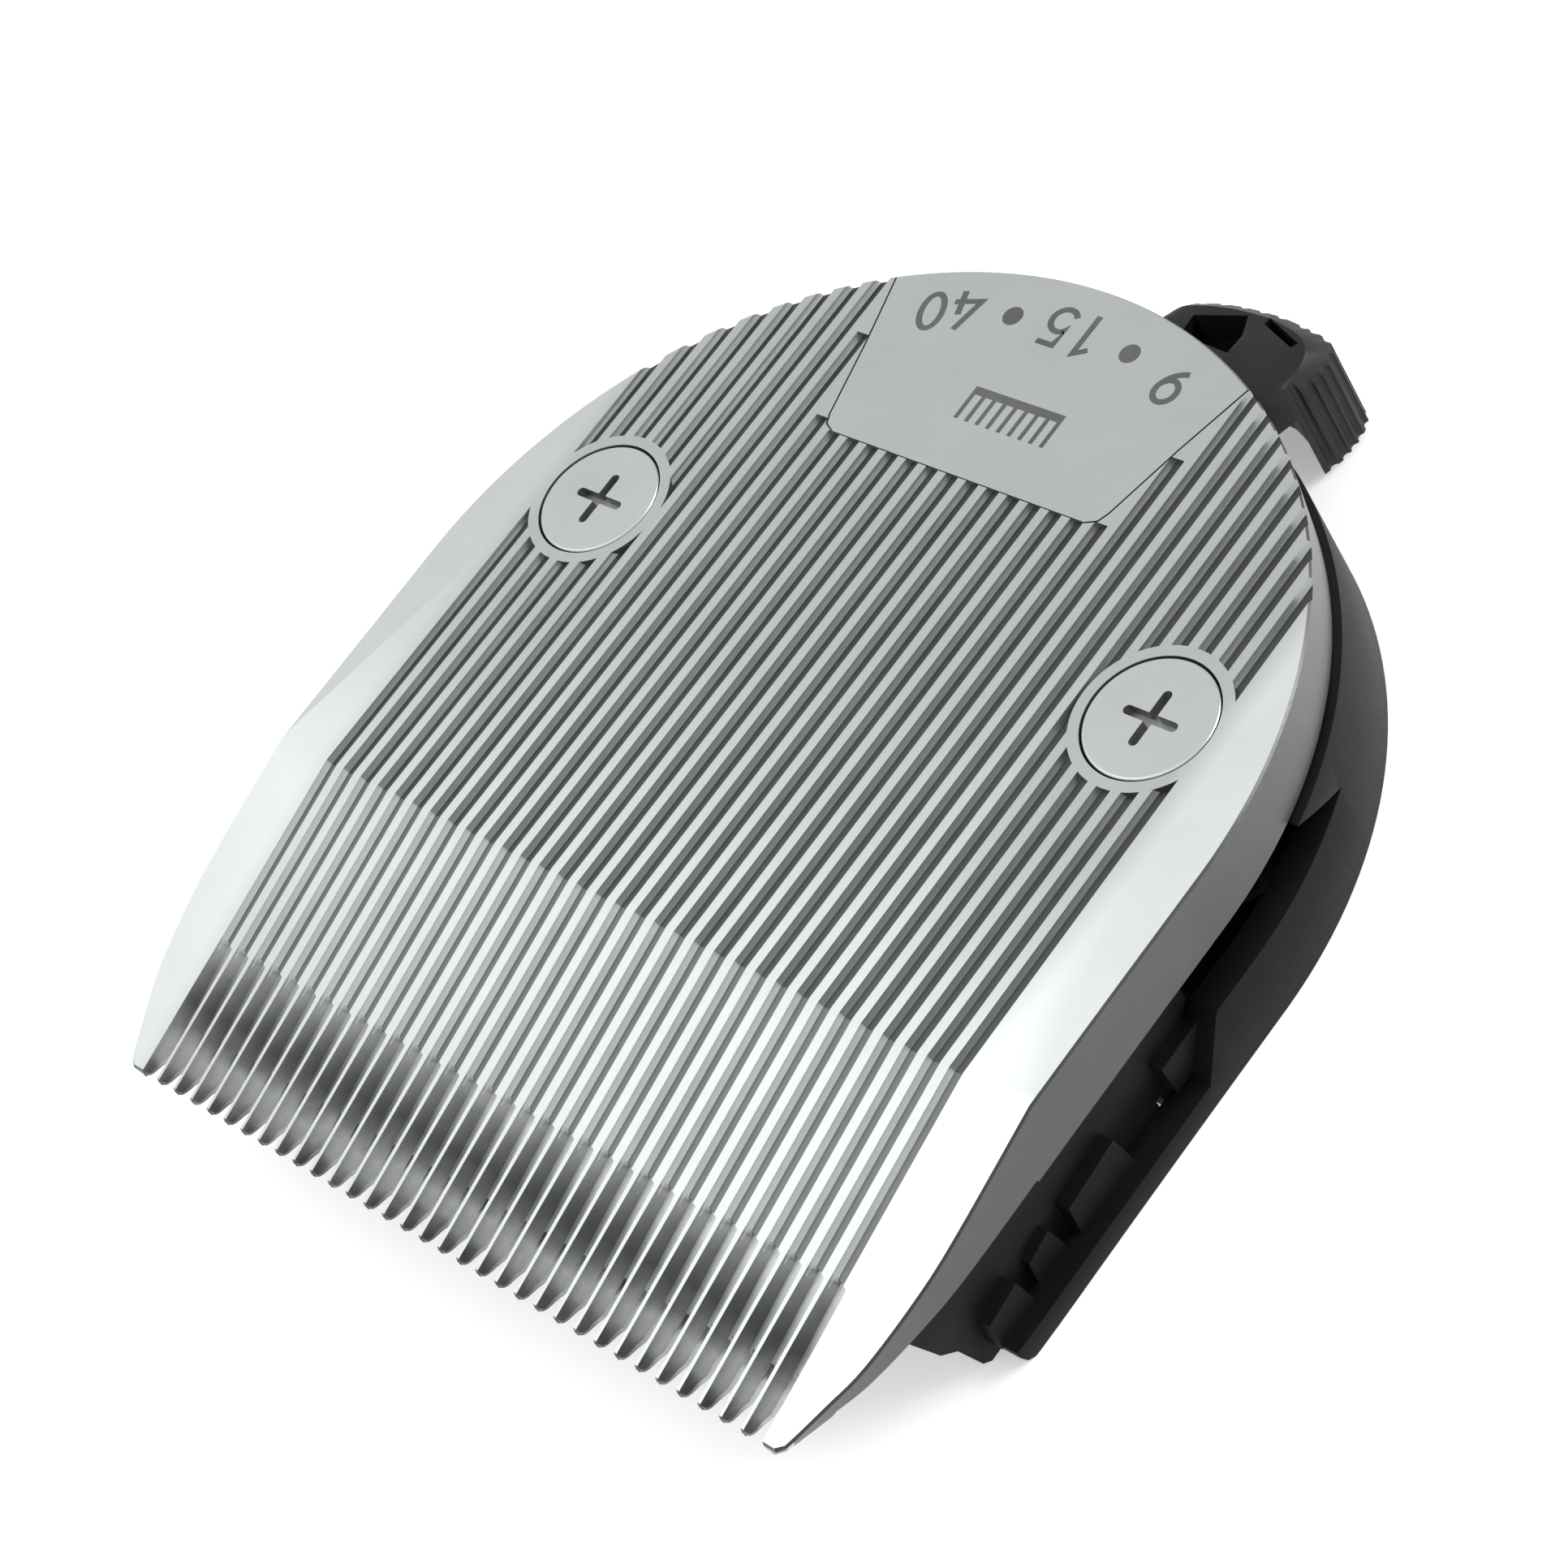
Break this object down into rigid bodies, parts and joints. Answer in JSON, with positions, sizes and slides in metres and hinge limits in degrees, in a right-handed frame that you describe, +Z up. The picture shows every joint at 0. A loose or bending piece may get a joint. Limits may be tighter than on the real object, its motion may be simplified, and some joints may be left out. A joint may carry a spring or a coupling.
{
  "type": "adjustable clipper blade set",
  "caption": "Ribbed steel clipper comb blade with a toothed bevelled edge, moving cutter, black base frame and a rear lever that sets the cutting length.",
  "frame": {"origin": "on the underside seat plane, on the adjusting lever's axis, which is the centre of the rounded rear", "axes": "+Z up through the ribbed steel face, -Y towards the cutting teeth, +Y towards the lever, +X to the right when the teeth point away from the viewer's left"},
  "size_m": [0.05, 0.0588, 0.0107],
  "materials": {
    "ground_steel": "fine-ground bare steel",
    "screw_steel_left": "bright plated steel",
    "screw_steel_right": "bright plated steel",
    "frame_plastic": "black moulded, fine satin",
    "insert_brass_left": "turned brass",
    "insert_brass_right": "turned brass",
    "cover_plastic": "black moulded, fine satin",
    "small_screw_1": "bright plated steel",
    "small_screw_2": "bright plated steel",
    "small_screw_3": "bright plated steel",
    "small_screw_4": "bright plated steel",
    "lever_plastic": "black moulded, satin",
    "peg_steel": "ground steel",
    "pin_steel": "turned steel",
    "washer_steel": "punched steel",
    "detent_steel": "spring steel strip",
    "carriage_plastic": "black moulded, matte",
    "rail_steel": "ground steel bar",
    "stud_steel_left": "turned steel",
    "stud_steel_right": "turned steel",
    "spring_wire_left": "spring wire",
    "spring_wire_right": "spring wire",
    "cutter_steel": "ground hardened steel",
    "driver_plastic": "ivory moulded",
    "rivet_steel_left": "upset steel rivet",
    "rivet_steel_right": "upset steel rivet"
  },
  "bodies": {
    "housing": {"comb_blade": "ground_steel", "comb_screw_left": "screw_steel_left", "comb_screw_right": "screw_steel_right", "base_frame": "frame_plastic", "screw_insert_left": "insert_brass_left", "screw_insert_right": "insert_brass_right", "bottom_cover": "cover_plastic", "cover_screw_1": "small_screw_1", "cover_screw_2": "small_screw_2", "cover_screw_3": "small_screw_3", "cover_screw_4": "small_screw_4", "pivot_pin": "pin_steel", "pivot_washer": "washer_steel", "detent_spring": "detent_steel", "guide_stud_left": "stud_steel_left", "guide_stud_right": "stud_steel_right"},
    "lever": {"adjusting_lever": "lever_plastic", "lever_peg": "peg_steel"},
    "carriage_unit": {"carriage": "carriage_plastic", "guide_rail": "rail_steel", "cutter_spring_left": "spring_wire_left", "cutter_spring_right": "spring_wire_right"},
    "cutter_unit": {"cutter_blade": "cutter_steel", "cutter_driver": "driver_plastic", "cutter_rivet_left": "rivet_steel_left", "cutter_rivet_right": "rivet_steel_right"}
  },
  "joints": [
    {"name": "lever_swing", "type": "hinge", "parent": "housing", "child": "lever", "pos_m": [0, 0, 0.0052], "axis": [0, 0, 1], "range_deg": [-9.4, 28.2]},
    {"name": "carriage_slide", "type": "slide", "parent": "housing", "child": "carriage_unit", "axis": [0, 1, 0], "range_m": [-0.0019, 0.00075]},
    {"name": "cutter_stroke", "type": "slide", "parent": "carriage_unit", "child": "cutter_unit", "axis": [1, 0, 0], "range_m": [-0.0012, 0.0012]}
  ],
  "couplings": [
    {"joint": "carriage_slide", "follows": "lever_swing", "m_per_rad": -0.003505}
  ]
}
